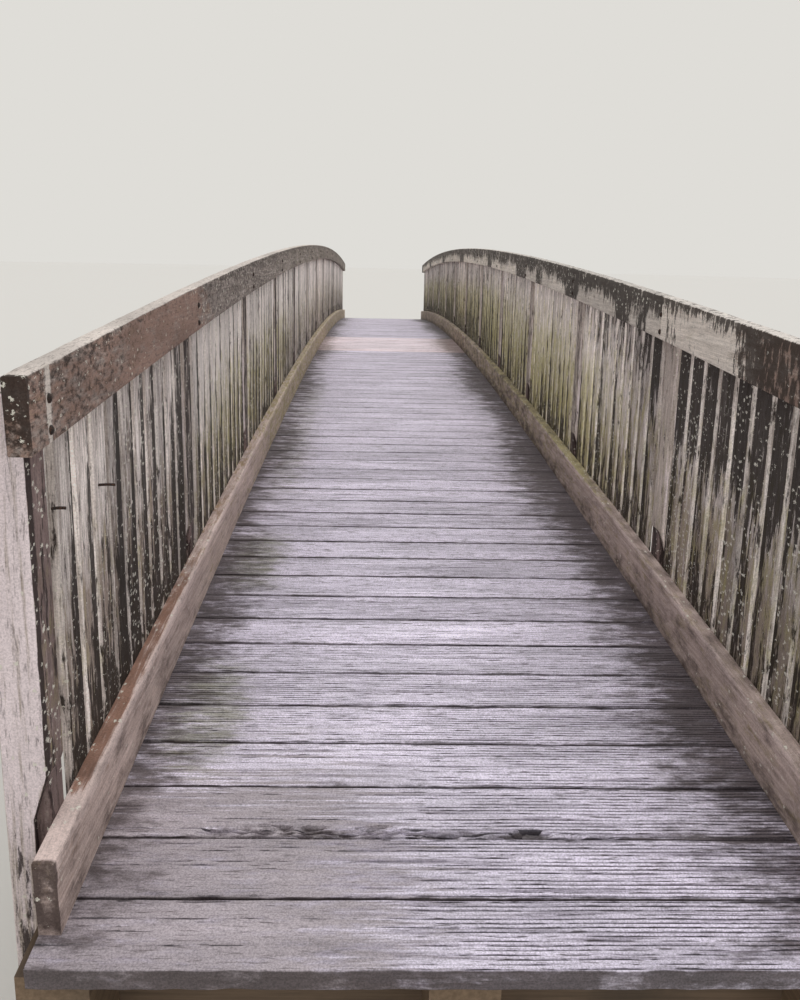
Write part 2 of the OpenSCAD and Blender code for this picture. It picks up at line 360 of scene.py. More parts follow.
# Heartwood plank: matte red-brown, mottled by small black specks of algae
heartwood_rail_plank = weathered_timber(
    "weathered_heartwood_rail", ALONG,
    {"light": "#aca099", "dark": "#877c76", "rusty": "#95776a", "bleached": "#d3c9c1", "stained": "#332925",
     "mossy": "#87825a"},
    roughness=(0.65, 0.9), cloud=0.24, stain_run=(1.0, 0.5, 1.0), stain_mm=14, stain_soft=0.26)
# Pale sapwood plank under a film of black algae, which runs down it in drips
algae_rail_plank = weathered_timber(
    "algae_blackened_softwood_rail", ALONG,
    {"light": "#e1d8ce", "dark": "#c5bbb1", "rusty": "#6b5044", "bleached": "#cbc4bd", "stained": "#352d28",
     "mossy": "#8b8860"},
    roughness=(0.65, 0.9), stain_run=(1.0, 1.0, 0.35), stain_mm=24, stain_spread=3.2, ticks=0.3)
print(len(bpy.data.materials), "materials so far")

# %% [markdown]
# ## Lengths of timber
# A length of timber is a loft: rings of section points, one ring a station, with a cap at each end. It could be a
# scaled cube with a bevel, but a loft lets each ring drift, wear and carry its own painted layers. Many lengths go
# into one mesh, because one CAD node holds many boards or pales.

# %% Lofted lengths and pieces
def length_of_timber(rings, **painted):
    """rings is stations x section points x 3; each painted layer has a value for every point, or one for all."""
    return {"rings": np.asarray(rings, float), "painted": painted}


def make_piece(name, lengths, material, nodes):
    """One mesh of many lengths of timber, which stands for the CAD nodes that are named."""
    points, faces, layers = [], [], {layer: [] for layer in LAYERS}
    rng = np.random.default_rng(len(name) + sum(ord(letter) for letter in name))
    first = 0
    for item in lengths:
        rings = item["rings"]
        stations, around = rings.shape[:2]
        index = first + np.arange(stations * around).reshape(stations, around)
        onwards = np.roll(index, -1, axis=1)
        sides = np.stack([index[:-1], onwards[:-1], onwards[1:], index[1:]], axis=-1)
        faces += sides.reshape(-1, 4).tolist() + [index[0][::-1].tolist(), index[-1].tolist()]
        points.append(rings.reshape(-1, 3))
        own = {"tone": rng.uniform(-1, 1), "seed": rng.uniform(-9, 9), **item["painted"]}
        for layer in LAYERS:
            layers[layer].append(np.broadcast_to(own.get(layer, 0.0), (stations, around)).ravel())
        first += stations * around
    mesh = bpy.data.meshes.new(name)
    mesh.from_pydata(np.concatenate(points).tolist(), [], faces)
    for layer, values in layers.items():
        mesh.attributes.new(layer, "FLOAT", "POINT").data.foreach_set("value", np.concatenate(values))
    tidy = bmesh.new()
    tidy.from_mesh(mesh)
    bmesh.ops.recalc_face_normals(tidy, faces=tidy.faces)
    tidy.to_mesh(mesh)
    tidy.free()
    mesh.shade_smooth()
    mesh.set_sharp_from_angle(angle=math.radians(28))
    mesh.materials.append(material)
    piece = bpy.data.objects.new(name, mesh)
    bpy.context.scene.collection.objects.link(piece)
    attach(piece, "root")
    if nodes:
        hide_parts(*nodes)
    print(name, len(lengths), "lengths,", len(faces), "faces")


print("a length carries", len(LAYERS), "painted values at each point")

# %% [markdown]
# ## Deck boards
# Each board is 225 mm wide with sixteen grooves along it, cut for grip. Feet have worn them nearly flat left of the
# middle at the near end, where the wood shows grey-brown. The section's points are moved down by each groove's
# depth, which fades with the wear, so the grooves are real geometry: a bump in the material would look flat along
# the board's edge. The third board's near edge has splintered away. Soil lies by the kerbs, and moss in places. The
# boards near the camera have closer stations, because their wear is seen up close.

# %% Deck board section
GROOVES, GROOVE_DEPTH, BOARD_ARRIS = 16, 0.0042, 0.003
# Half of a groove's width, at its mouth and on its floor
MOUTH_HALF, FLOOR_HALF = 0.0034, 0.0012
groove_pitch = BOARD_W / GROOVES
across, groove_share = [], []
for groove in range(GROOVES):
    middle = -BOARD_W / 2 + (groove + 0.5) * groove_pitch
    across += [middle - MOUTH_HALF, middle - FLOOR_HALF, middle + FLOOR_HALF, middle + MOUTH_HALF]
    groove_share += [0.0, 1.0, 1.0, 0.0]
top_count = len(across)
across = np.array([-BOARD_W / 2, *across, BOARD_W / 2, BOARD_W / 2, -BOARD_W / 2])
fall = np.array([BOARD_ARRIS] + [0.0] * top_count + [BOARD_ARRIS, BOARD_T, BOARD_T])
groove_share = np.array([0.0, *groove_share, 0.0, 0.0, 0.0])
groove_of_point = np.array([0, *np.repeat(np.arange(GROOVES), 4), GROOVES - 1, GROOVES - 1, 0])
print(len(across), "points in a board's section")


# %% Wear and dirt on the deck
NEWER, SPLINTERED = range(45, 54), 2


def deck_wear(x, run):
    """How far feet have worn the grooves away, at a place across and a distance from the near end."""
    near_left = 0.90 * (1 - ease(0.5, 1.4, run)) * (1 - ease(-0.30, 0.10, x))
    return np.clip(near_left + 0.15 * np.exp(-np.square((x + 0.1) / 0.35)) * (1 - ease(2.0, 4.0, run)), 0, 1)


def painted_wet_sheen(x, run):
    """How strongly a painted wet sheen lightens the boards: least on the left of the first boards, most past the
    middle.
    """
    return 0.70 - 0.58 * (1 - ease(0.3, 1.0, run)) * (1 - ease(-0.50, 0.12, x)) + 0.24 * ease(3.5, 7.0, run)


def soil(x, run):
    """Soil along both kerbs, wider on the right."""
    left = 1 - ease(-0.95, -0.56, x + 0.04 * np.sin(run * 2.3))
    right_side = ease(0.46, 0.92, x + 0.05 * np.sin(run * 1.7 + 1))
    return np.maximum(0.78 * left * ease(0.1, 1.2, run + 0.5), 0.92 * right_side * (0.50 + 0.50 * ease(0.0, 1.4, run)))


def moss(x, run):
    """Moss beside the left kerb, thickest in two stretches, and a little on the right."""
    by_left_kerb = between(-0.88, -0.60, 0.10, x)
    stretches = between(0.75, 1.5, 0.2, run) + between(2.1, 2.9, 0.2, run) + 0.7 * between(3.4, 7.5, 0.6, run)
    return 0.62 * by_left_kerb * np.clip(stretches, 0, 1) + 0.22 * between(0.6, 0.85, 0.12, x) * ease(2.0, 4.0, run)


print("share of a groove that is left where feet tread first:", 1 - deck_wear(-0.5, 0.1))


# %% Splintered edge
def splintered_edge(x, v, rng):
    """Where the third board's near edge is broken away, and how deep its splinters and its two hollows go."""
    reach = 0.046 - 0.022 * ease(-0.3, 0.4, x)
    broken = -BOARD_W / 2 + reach * between(-0.66, 0.42, 0.08, x) + wander(rng, x, 0.045, 0.014)
    on_top = (fall < BOARD_T)[None, :] * between(-0.68, 0.44, 0.05, x)[:, None]
    splinters = np.stack([np.abs(wander(rng, x, 0.055, 0.016)) for _ in across], axis=-1)
    hollows = 0.013 * (between(-0.07, 0.03, 0.04, x) + between(0.155, 0.225, 0.035, x))[:, None]
    return ease(0.0, 0.005, broken[:, None] - v) * on_top, splinters + hollows


print("board", SPLINTERED + 1, "is splintered")


# %% One deck board
def deck_board(number, rng):
    """One deck board as a loft from its left end to its right end."""
    end_x = PLANK_X if number in (0, BOARD_COUNT - 1) else DECK_X
    stations = 181 if number == SPLINTERED else 101 if number < 6 else 67 if number < 14 else 21
    x = np.linspace(-end_x, end_x, stations)
    run = number * BOARD_PITCH + BOARD_W / 2 + across[None, :]
    x_all = np.broadcast_to(x[:, None], (stations, across.size))

    # The ring's shape: worn grooves, ragged edges, and a broken edge on one board
    by_groove = np.stack([
        rng.uniform(-0.35, 0.45) + wander(rng, x, 0.05, 0.45) + wander(rng, x, 0.35, 0.30) for _ in range(GROOVES)],
        axis=-1)[:, groove_of_point]
    wear = np.clip(deck_wear(x_all, run) + 0.12 + by_groove, 0, 0.97)
    dip = fall[None, :] + GROOVE_DEPTH * groove_share[None, :] * (1 - wear)
    at_edge = (np.abs(across) > BOARD_W / 2 - 0.001)[None, :]
    edge_in = np.abs(wander(rng, x, 0.04, 0.0035) + wander(rng, x, 0.3, 0.003))[:, None] * at_edge
    wavy = (wander(rng, x, 0.16, 0.0014) + wander(rng, x, 0.05, 0.0008))[:, None] * (1 - at_edge)
    v = across[None, :] - np.sign(across)[None, :] * edge_in + wavy
    if number == SPLINTERED:
        lost, broken_deep = splintered_edge(x, v, rng)
        dip = dip + lost * (0.002 + broken_deep)
    angle = (-HALF_ARC + BOARD_W / 2 + number * BOARD_PITCH) / ARCH_RADIUS
    sag = wander(rng, x, 0.5, 0.0008)[:, None]
    radius = ARCH_RADIUS - dip - np.abs(sag)
    y = radius * math.sin(angle) + v * math.cos(angle)
    z = CENTRE_Z + radius * math.cos(angle) - v * math.sin(angle)

    # Its paint: wet dirt and painted joint shadow along the edges, painted shade on the sides and underside, and the
    # colour that its wood has by age and wear, with a painted wet sheen over it
    # Dark bands along both edges: partly wet dirt, partly painted shadow of the joints between boards
    edge_dirt_and_shadow_share = (0.14 + rng.uniform(-0.1, 0.4) * (number > 6) + wander(rng, x, 0.25, 0.22))[:, None]
    edge_dirt_and_shadow = edge_dirt_and_shadow_share * ease(BOARD_W / 2 - 0.020, BOARD_W / 2 - 0.002, np.abs(across))[None, :]
    # The sides and underside are painted dark: painted shade in the joints and under the board
    stained = np.maximum(soil(x_all, run) + edge_dirt_and_shadow + 0.04, (fall > 0.001)[None, :] * 0.85)
    if number == SPLINTERED:
        stained = np.maximum(stained, lost * np.clip(0.25 + 38 * broken_deep, 0, 0.9))
    if number in NEWER:
        rusty = 0.30 + 0.30 * (number == NEWER[0]) + 0.25 * (1 - ease(-0.9, -0.3, x_all)) + rng.uniform(-0.1, 0.15)
    else:
        rusty = 0.62 * (1 - ease(0.6, 2.0, run)) * (1 - ease(-0.60, 0.55, x_all)) + rng.uniform(0.0, 0.12)
    # Painted wet sheen: the pale layer lightens the boards where wet wood would reflect the bright sky
    bleached = painted_wet_sheen(x_all, run) + rng.uniform(-0.12, 0.12)
    tone = rng.uniform(-1.0, 1.0) * (0.4 if number < 6 else 0.7) + wander(rng, x, 0.45, 0.8)[:, None]
    return length_of_timber(
        np.stack([x_all, y, z], axis=-1), groove=1.05 * groove_share[None, :] * (1 - wear), rusty=rusty,
        bleached=bleached, stained=stained, mossy=moss(x_all, run), tone=tone)


print("boards lie", BOARD_PITCH, "m apart, from middle to middle")

# %% Deck boards
runs = {"newer_deck_boards": NEWER}
near_count, far_count = NEWER.start // 3, (BOARD_COUNT - NEWER.stop) // 3
for k in range(3):
    runs[f"deck_boards_{k + 1}"] = range(k * near_count, (k + 1) * near_count)
    runs[f"deck_boards_{k + 4}"] = range(NEWER.stop + k * far_count, NEWER.stop + (k + 1) * far_count)
for node, boards in runs.items():
    rng = np.random.default_rng(boards[0] + 1)
    newer = boards == NEWER
    make_piece("grooved_" + node, [deck_board(number, rng) for number in boards],
               newer_deck_board if newer else wet_deck_board, [node])

# %% [markdown]
# ## Kerbs and rails
# Both are planks that follow the arc, in lengths that meet on posts with an open joint. Their section has its real
# arrises, and each station drifts a millimetre or so, as worn planks do. Points along the face let the paint follow
# the real patches: black algae along the rail's top, and bleached wood below it.

# %% Lengths of plank
BAY_COUNT, POST_SETBACK, POST_W = 12, 0.290, 0.125
BAY = 2 * (HALF_Y - POST_SETBACK) / BAY_COUNT
BUTT_GAP, LIP = 0.003, 0.006
CLOSE_STATIONS, STATIONS = 0.012, 0.045


def post_y(number):
    """Where a post stands along the bridge, counted from the near end."""
    return -HALF_Y + POST_SETBACK + number * BAY


def plank_lengths(side, section, height, setback, joints, paint, seed):
    """Lofts a plank along the arch. section is rows of x from its inner face and height from its top."""
    rng = np.random.default_rng(seed)
    depth, up = np.array(section).T[:, None, :]
    near_top, inner = up > -0.012, depth < 0.012
    middle_radius = ARCH_RADIUS + height + up.min() / 2
    lip = LIP / middle_radius
    ends = [-HALF_Y + setback - BUTT_GAP / 2, *joints, HALF_Y - setback + BUTT_GAP / 2]
    lengths = []
    for start, end in zip(ends[:-1], ends[1:]):
        first = math.asin((start + BUTT_GAP / 2) / middle_radius)
        last = math.asin((end - BUTT_GAP / 2) / middle_radius)
        count = int((end - start) / (CLOSE_STATIONS if start < -HALF_Y + 0.5 else STATIONS))
        angles = np.array([first, *np.linspace(first + lip, last - lip, count), last])[:, None]
        y, z = on_arch(angles, height + up)
        worn = np.abs(wander(rng, y[:, 0], 0.11, 0.0016))[:, None] * near_top
        x = side * (WALK_X + depth + worn * inner)
        painted = paint(y + HALF_Y, height + up, depth, rng)
        lengths.append(length_of_timber(np.stack([x, y, z - worn], axis=-1), **painted))
    return lengths


print("bays of", BAY, "m")

# %% [markdown]
# The kerb lies on the boards, so feet rub its inner face and top. The left one is brown along its top, where the
# wood is wet, and bleached at its near end. The right one is darker and carries moss further in.

# %% Kerb
KERB_H, KERB_SETBACK = 0.190, 0.100
kerb_section = [
    (0.0, -0.190), (0.0, -0.155), (0.0, -0.115), (0.0, -0.075), (0.0, -0.040), (0.0, -0.018), (0.0, -0.008),
    (0.0025, -0.003), (0.008, 0.0), (0.018, 0.0), (0.029, 0.0), (0.041, 0.0), (0.048, -0.0005), (0.050, -0.003),
    (0.050, -0.060), (0.050, -0.130), (0.050, -0.190), (0.025, -0.190)]


def kerb_paint(side):
    """How a kerb is painted. run is from the near end, rise from the deck, and depth from the inner face."""
    def paint(run, rise, depth, rng):
        top = (rise > KERB_H - 0.0045) & (depth < 0.05)
        arris = between(KERB_H - 0.02, KERB_H - 0.002, 0.006, rise) * (depth < 0.01)
        foot = 1 - ease(0.0, 0.08, rise)
        if side < 0:
            end = run < KERB_SETBACK + 0.004
            rusty = (0.46 * ease(0.30, 0.42, run) * (1 - ease(1.0, 2.2, run)) + 0.22) * top + 0.18
            stained = 0.16 * foot + 0.84 * end + 0.06 + 0.03 * ease(1.5, 3.0, run) * (1 - top)
            stained = stained + 0.20 * (1 - ease(1.0, 2.0, run)) * (1 - top)
            mossy = 0.20 * ease(1.0, 2.2, run) + 0.34 * ease(2.5, 6.0, run) + 0.35 * end
            bleached = 0.62 * arris + 0.75 * top * (1 - ease(0.30, 0.40, run)) * (1 - end) + 0.26
        else:
            rusty = 0.20
            stained = 0.30 * foot + 0.20 + 0.08 * wander(rng, run[:, 0], 0.4, 1.0)[:, None]
            stained = stained + 0.22 * ease(3.0, 6.0, run) + 0.05 * (1 - ease(1.0, 2.0, run))
            mossy = 0.90 * top * between(3.4, 8.0, 1.0, run) + 0.24 + 0.26 * ease(3.0, 6.0, run)
            bleached = 0.50 * arris + 0.15
        return {"rusty": rusty, "stained": stained, "mossy": mossy, "bleached": bleached,
                "lichen": 0.12 * top + 0.02}
    return paint


kerb_joints = [post_y(3), post_y(6), post_y(9)]
for name, side in SIDES.items():
    lengths = plank_lengths(side, kerb_section, KERB_H, KERB_SETBACK, kerb_joints, kerb_paint(side), 5)
    make_piece(f"worn_{name}_kerb", lengths, worn_kerb_plank, [f"{name}_kerb"])

# %% [markdown]
# The rail stands on edge, so water runs down its face. The left one's face is brown, with a bleached scar across it
# near the end. Black algae cover the right one's face, apart from patches that the list below places.

# %% Rail
RAIL_TOP, RAIL_D, RAIL_SETBACK = 1.240, 0.165, 0.130
rail_section = [
    (0.0005, -0.1635), (0.0, -0.160), (0.0, -0.140), (0.0, -0.120), (0.0, -0.100), (0.0, -0.080), (0.0, -0.060),
    (0.0, -0.040), (0.0, -0.020), (0.0, -0.005), (0.0015, -0.0015), (0.005, 0.0), (0.017, 0.0), (0.033, 0.0),
    (0.045, 0.0), (0.0485, -0.0015), (0.050, -0.005), (0.050, -0.045), (0.050, -0.085), (0.050, -0.125),
    (0.050, -0.161), (0.0485, -0.165), (0.025, -0.165), (0.002, -0.165)]
# Bleached patches under the algae on the right rail: from, to and how high up the plank each reaches
clean_patches = [(1.20, 1.90, 0.135), (1.96, 2.32, 0.12), (2.42, 2.60, 0.075), (2.85, 3.75, 0.07),
                 (4.12, 4.95, 0.10), (5.20, 5.70, 0.09), (6.20, 7.90, 0.08), (8.3, 11.0, 0.085), (11.6, 14.5, 0.09),
                 (15.0, 18.3, 0.08), (18.8, 21.5, 0.09)]


def rail_paint(side):
    """How a rail is painted, with the same measures as a kerb."""
    def paint(run, rise, depth, rng):
        end = run < RAIL_SETBACK + 0.004
        top = (rise > RAIL_TOP - 0.003) & (depth < 0.049) & ~end
        outer = (depth > 0.049) & ~end
        up = rise - (RAIL_TOP - RAIL_D)
        drift = wander(rng, run[:, 0], 0.16, 0.03)[:, None] + wander(rng, run[:, 0], 0.05, 0.012)[:, None]
        if side < 0:
            rusty = 0.56 * (1 - ease(2.0, 2.9, run)) + 0.14 * between(0.95, 2.1, 0.2, run) + 0.20 * ease(2.9, 3.5, run)
            stained = 0.38 - 0.22 * between(0.95, 2.2, 0.3, run) + 0.04 * ease(2.6, 3.4, run)
            stained = stained + 0.14 * ease(0.10, 0.16, up) + 0.60 * end
            scar = between(0.240, 0.266, 0.004, run + 0.5 * drift)
            stained = stained * (1 - scar)
            rusty = rusty * (1 - scar)
            bleached = 0.95 * scar + 0.22 * ease(2.6, 3.6, run)
            lichen = 0.42 * end + 0.26 * (1 - ease(1.0, 2.6, run)) * (1 - end) + 0.12
        else:
            clean = sum(between(a, b, 0.10, run + drift) * (1 - ease(reach - 0.07, reach + 0.04, up + drift))
                        for a, b, reach in clean_patches)
            rusty = 0.62 * (1 - ease(0.9, 1.5, run)) + 0.1
            black = 0.88 - 0.30 * (1 - ease(0.7, 1.25, run)) - 0.10 * ease(4.0, 9.0, run)
            stained = black - (black - 0.05) * np.clip(clean, 0, 1)
            bleached = 0.10
            lichen = 0.04 + 0.08 * ease(1.2, 2.4, run)
        stained = np.where(outer, 0.45, stained)
        return {"rusty": rusty * (1 - top), "stained": stained * (1 - 0.6 * top),
                "bleached": np.maximum(bleached, 0.8 * top), "lichen": lichen,
                "mossy": 0.24 * ease(3.0, 8.0, run) + 0.10}
    return paint


rail_joints = [post_y(i) for i in (1, 3, 6, 9, 11)]
for name, side in SIDES.items():
    lengths = plank_lengths(side, rail_section, RAIL_TOP, RAIL_SETBACK, rail_joints, rail_paint(side), 8)
    make_piece(f"weathered_{name}_rail", lengths, heartwood_rail_plank if side < 0 else algae_rail_plank,
               [f"{name}_rail"])

# %% [markdown]
# ## Posts
# Each post is 100 by 125 mm, notched at its foot so that it bears on the beam and the boards' ends. Drying has
# opened a long check down its near and far faces. The loft runs up the post: the ring's inner side steps out at the
# notch, and three points on each end face sink to make the check.

# %% Post sizes
NOTCH_LOW, NOTCH_HIGH = 0.200, 0.310
PACKER_W, PACKER_LIFT = 0.090, 0.008
ARRIS, CHECK_HALF, CHECK_DEEP = 0.003, 0.0016, 0.007
post_levels = np.array([-0.450, -0.446, -0.30, -0.15, -0.02, 0.08, 0.16, 0.200, 0.255, 0.310, 0.37, 0.46, 0.56,
                        0.66, 0.76, 0.86, 0.96, 1.06, 1.13, 1.176, 1.180])
# The face that each point of a ring is on: 0 inner, 1 near, 2 outer, 3 far
post_face = np.array([0] * 6 + [1] * 6 + [2] * 5 + [3] * 5)[None, :]
print(len(post_levels), "rings of", post_face.size, "points a post")


# %% One post
def post(side, number, rng):
    """One post as a loft from its foot to its top, with a check down its near and far faces."""
    half, base = POST_W / 2, deck_z(post_y(number))
    first_left = side < 0 and number == 0
    check_at = PLANK_X + rng.uniform(0.048, 0.074, 2)
    rings = []
    for level_up in post_levels:
        inner = np.interp(level_up, [NOTCH_LOW, NOTCH_HIGH], [DECK_X, PLANK_X])
        trim = ARRIS if level_up in (post_levels[0], post_levels[-1]) else 0.0
        opened = between(0.0, 1.05, 0.12, level_up) * (not first_left)
        wide, deep = CHECK_HALF * opened + 0.0002, CHECK_DEEP * opened
        ring = [(inner + trim, y) for y in (half - ARRIS, half / 2, 0, -half + 0.034, -half + 0.020, -half + ARRIS)]
        cut = check_at[0]
        near = [(inner + ARRIS, 0), (inner + 0.008, 0), (cut - wide, 0), (cut, deep), (cut + wide, 0),
                (POST_X - ARRIS, 0)]
        ring += [(x, -half + trim + d) for x, d in near]
        ring += [(POST_X - trim, y) for y in (-half + ARRIS, -half / 2, 0, half / 2, half - ARRIS)]
        cut = check_at[1]
        far = [(POST_X - ARRIS, 0), (cut + wide, 0), (cut, deep), (cut - wide, 0), (inner + ARRIS, 0)]
        ring += [(x, half - trim - d) for x, d in far]
        rings.append([(side * x, post_y(number) + y, base + level_up) for x, y in ring])

    # The first left post is closest to the camera: a bright near face, and a brown inner one, darkest by its arris.
    #     Inner faces are darker by stain and by painted shade from the rail above
    rise = post_levels[:, None]
    inner_face, near_face = post_face == 0, post_face == 1
    foot = 1 - ease(0.0, 0.35, rise)
    # Inner faces darker: partly stain, partly painted shade from the rail above
    stained = 0.30 * foot + 0.22 * inner_face + rng.uniform(0.02, 0.20)
    if first_left:
        by_arris = np.isin(np.arange(post_face.size), (4, 5))[None, :]
        stained = 0.05 + 0.32 * inner_face + 0.60 * by_arris + 0.30 * foot
    elif side < 0 and number < 5:
        stained = stained + 0.40 * inner_face
    return length_of_timber(
        rings, stained=stained, rusty=(0.75 if first_left else 0.1) * inner_face,
        bleached=(0.60 if first_left else 0.30) * near_face * (1 - 0.5 * foot) + 0.1,
        mossy=0.30 * inner_face * between(0.2, 0.8, 0.15, rise) + 0.12 * foot, lichen=0.26 * inner_face + 0.04)


print("a post is", round(POST_X - PLANK_X, 3), "by", POST_W, "m above its notch")


# %% Posts and packers
def packer(side, number):
    """The block between a post's notch and the kerb, a little narrower than the post."""
    half = PACKER_W / 2
    rings = []
    for y, trim in ((-half, ARRIS), (-half + ARRIS, 0.0), (half - ARRIS, 0.0), (half, ARRIS)):
        low, high = PACKER_LIFT + trim, NOTCH_HIGH - trim
        ring = [(PLANK_X, low), (DECK_X, low), (DECK_X, NOTCH_LOW), (PLANK_X + 0.004, high - 0.006),
                (PLANK_X + trim, high - 0.008), (PLANK_X + trim, 0.16)]
        rings.append([(side * x, post_y(number) + y, deck_z(post_y(number)) + level_up) for x, level_up in ring])
    first_left = side < 0 and number == 0
    return length_of_timber(rings, stained=0.22 if first_left else 0.6, rusty=0.8, mossy=0.1, lichen=0.1)


for name, side in SIDES.items():
    rng = np.random.default_rng(30 + side)
    lengths = [post(side, number, rng) for number in range(BAY_COUNT + 1)]
    lengths += [packer(side, number) for number in range(BAY_COUNT + 1)]
    make_piece(f"checked_{name}_posts", lengths, sawn_post, [f"{name}_posts"])

# %% [markdown]
# ## Pales
# Ten boards fill each bay, nailed to the outer faces of the kerb and the rail. Seen from the walkway their inner
# faces are stained where water runs down an edge, more at the foot, and brown where a stain thins out, while their
# narrow edges stay clean and bright. Five points across each face and fourteen stations up it are enough to paint
# that. Each pale leans and bows slightly, as boards do that have dried on their nails.

# %% Pale sizes
PALE_W, PALE_T, PALE_GAP_MIN, POST_GAP, PALE_LIFT, PALE_DROP = 0.120, 0.024, 0.030, 0.070, 0.008, 0.015
panel_w = BAY - POST_W - 2 * POST_GAP
PALE_COUNT = int((panel_w + PALE_GAP_MIN) / (PALE_W + PALE_GAP_MIN))
pale_gap = (panel_w - PALE_COUNT * PALE_W) / (PALE_COUNT - 1)
PALE_ARRIS, PALE_HALF = 0.002, PALE_W / 2 - 0.0006
pale_low, pale_high = PALE_LIFT, RAIL_TOP - PALE_DROP
pale_rise = np.array([pale_low, pale_low + 0.004, 0.10, 0.20, 0.30, 0.42, 0.55, 0.68, 0.80, 0.92, 1.05, 1.15,
                      pale_high - 0.003, pale_high])[:, None]
face_y = np.array([-1, -0.5, 0, 0.5, 1.0]) * (PALE_HALF - PALE_ARRIS)
pale_section = np.array(
    [(0.0, y) for y in face_y] + [(PALE_ARRIS, PALE_HALF), (PALE_T - PALE_ARRIS, PALE_HALF)]
    + [(PALE_T, y) for y in face_y[::-1]] + [(PALE_T - PALE_ARRIS, -PALE_HALF), (PALE_ARRIS, -PALE_HALF)])
pale_depth, pale_across = pale_section.T[:, None, :]
print(PALE_COUNT, "pales a bay,", pale_gap, "m apart")


# %% Stains on the pales
FIRST_BAY_FADES = (1.8, 2.4)


def in_first_bay(run):
    """1 in the bay at the near end, and 0 past it."""
    return 1 - ease(*FIRST_BAY_FADES, run)


def pale_stain_and_shade(side, run, shade_by_post, rng):
    """Black stains on an inner face: a band that tapers upwards along its far edge, and a dark foot.
    Painted shade darkens the pales beside a post.
    """
    rise, across_share = pale_rise, np.clip(pale_across / PALE_HALF, -1, 1)
    far, first_bay = ease(2.5, 6.0, run), in_first_bay(run)
    reach, width = rng.uniform(0.75, 1.30), rng.uniform(0.6, 1.7) + 0.3 * far
    start = 1.0 - width * np.clip(1 - rise / reach, 0, 1) ** 0.6 - 0.10
    band = ease(-0.6, 0.30, across_share - start) * (rng.uniform(0.48, 0.78) + (0.06 if side < 0 else -0.08) * far)
    foot = (rng.uniform(0.35, 0.68) + 0.08 * far) * (1 - ease(0.15, 0.60, rise))
    stained = np.maximum(band, foot) + 0.08 + rng.uniform(-0.10, 0.14) * (1 + far)
    stained = stained + far * wander(rng, rise[:, 0], 0.22, 0.22)[:, None]
    if side < 0:
        stained = stained + first_bay * (0.15 * (1 - ease(0.65, 1.1, rise)) + 0.06)
        stained = stained - 0.10 * (1 - first_bay) * ease(0.5, 0.9, rise)
    else:
        stained = stained - 0.24 * between(2.2, 6.5, 0.5, run) * ease(0.25, 0.65, rise)
        stained = stained + ease(6.5, 9.0, run) * (0.14 + 0.34 * (1 - ease(0.2, 0.7, rise)))
        stained = stained - 0.12 * first_bay * (1 - ease(0.6, 0.8, rise))
        dark_top = 0.92 * (1 - ease(1.8, 2.7, run)) * ease(0.51, 0.80, rise)
        dark_top = dark_top + 0.55 * ease(0.72, 1.0, rise) * between(1.9, 3.6, 0.5, run)
        stained = np.maximum(stained - 0.04, dark_top)
    # Painted shade: the pales beside a post are darker, where the post's shaded side would show through the gap
    return stained + shade_by_post


print("the first bay's own stains fade out at", FIRST_BAY_FADES, "m")


# %% Other weather on the pales
def pale_paint(side, run, shade_by_post, rng):
    """Every painted layer of a pale, by station and point of its section."""
    rise, first_bay, far = pale_rise, in_first_bay(run), ease(6.0, 9.0, run)
    edge = np.abs(np.abs(pale_across) - PALE_HALF) < 1e-6
    inner_face, outer_face = pale_depth < 1e-6, pale_depth > PALE_T - 1e-6
    stained = pale_stain_and_shade(side, run, shade_by_post, rng)
    on_edge = 0.10 + 0.26 * (1 - ease(0.1, 0.35, rise)) + 0.10 * (side > 0)
    on_edge = on_edge + 0.18 * (side < 0) * first_bay * (1 - ease(0.5, 1.0, rise))
    stained = np.where(edge, on_edge, stained)
    stained = np.where(outer_face, 0.06 + 0.16 * (1 - ease(0.0, 0.25, rise)), stained)

    # The left pales are mossy in a stretch; the right ones carry a thin olive film all along, and bleach less
    bleached = (0.55 - 0.40 * first_bay if side < 0 else 0.30) * edge + 0.18
    if side < 0:
        green, film = between(2.4, 6.8, 1.0, run), 0.0
        bleached = bleached + (0.22 + 0.28 * (1 - first_bay) + 0.3 * far) * ease(0.40, 0.80, rise)
    else:
        green = ease(2.6, 4.5, run) * 0.7
        film = (0.14 + 0.08 * ease(2.2, 3.2, run)) * (1 - 0.6 * ease(8.0, 12.0, run))
        bleached = bleached + 0.34 * ease(2.2, 3.2, run) * ease(0.3, 0.7, rise)
    mossy = ((0.22 + 0.30 * green + 0.16 * far) * between(0.10, 0.85, 0.25, rise) + film) * (inner_face | edge)
    lichen = (0.42 * (1 - ease(3.0, 7.0, run)) + 0.10) * inner_face * (1.0 if side < 0 else 0.6) + 0.04

    # Brown at the foot, and in the half-tones where a black stain thins out
    brown = (0.42 * (1 - ease(0.35, 0.85, rise)) + 0.14) * inner_face * (1 - 0.6 * far)
    brown = brown + 0.14 * first_bay * (1 - ease(0.45, 0.8, rise)) * (inner_face | (side > 0))
    brown = brown + 0.34 * between(0.26, 0.56, 0.10, stained) * inner_face
    tone = rng.uniform(-2, 2) - 2.4 * outer_face
    tone = tone + (1.3 * ease(4.5, 7.0, run) if side < 0 else 1.6 * between(3.0, 7.5, 1.0, run) - 0.4)
    return {"stained": stained, "bleached": bleached * (1 - outer_face), "rusty": brown, "mossy": mossy,
            "lichen": lichen, "tone": tone}


print("a pale's paint has", pale_rise.size, "by", pale_across.size, "points")


# %% Pales
def pale_y(bay_number, place):
    """Where the middle of a pale is along the bridge."""
    return post_y(bay_number) + POST_W / 2 + POST_GAP + place * (PALE_W + pale_gap) + PALE_W / 2


